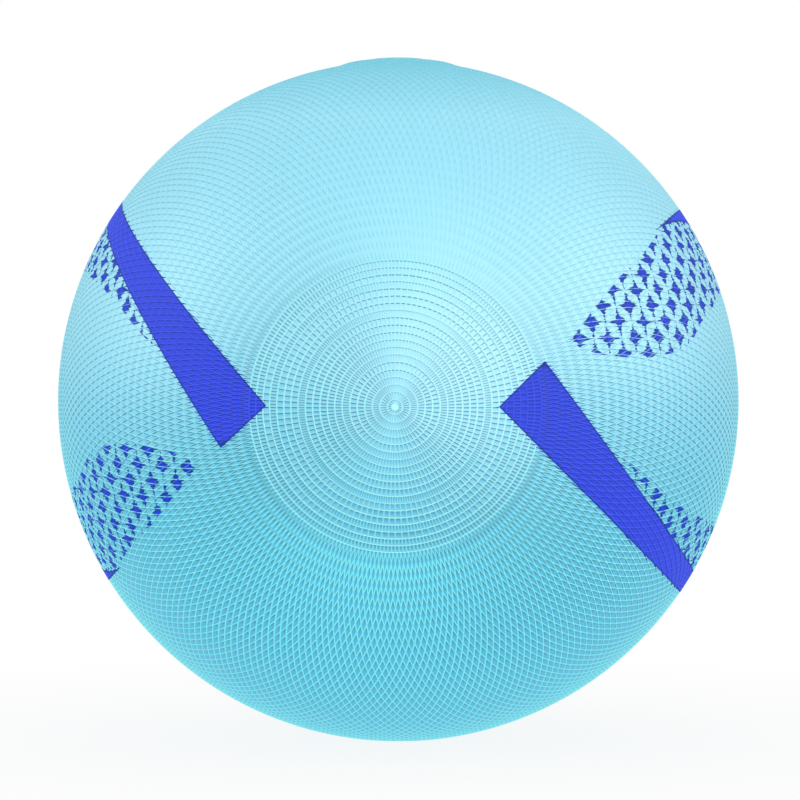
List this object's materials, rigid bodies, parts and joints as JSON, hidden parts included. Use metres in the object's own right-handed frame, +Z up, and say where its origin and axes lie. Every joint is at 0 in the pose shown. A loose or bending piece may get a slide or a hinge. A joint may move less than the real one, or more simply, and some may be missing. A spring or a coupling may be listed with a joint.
{
  "type": "soft volleyball",
  "caption": "Light blue soft rubber volleyball with a fine raised rib net, ringed poles, dark blue wedge bands and a push-in needle valve plug.",
  "frame": {"origin": "centre of the ball", "axes": "+Z up through the valve, -Y to the ringed pole at the front, +X to the right"},
  "size_m": [0.2476, 0.2482, 0.2478],
  "materials": {
    "cover": "satin moulded rubber",
    "inner_rubber": "matt rubber",
    "valve_rubber": "matt rubber",
    "ink": "satin printed ink"
  },
  "bodies": {
    "ball": {"cover_front": "cover", "cover_back": "cover", "seam_strip": "inner_rubber", "valve_patch": "inner_rubber", "valve_seat": "valve_rubber", "band_right_front": "ink", "band_right_back": "ink", "band_left_front": "ink", "band_left_back": "ink"},
    "plug": {"valve_plug": "valve_rubber"}
  },
  "joints": [
    {"name": "plug_pull", "type": "slide", "parent": "ball", "child": "plug", "axis": [0, 0, 1], "range_m": [0, 0.03]}
  ]
}
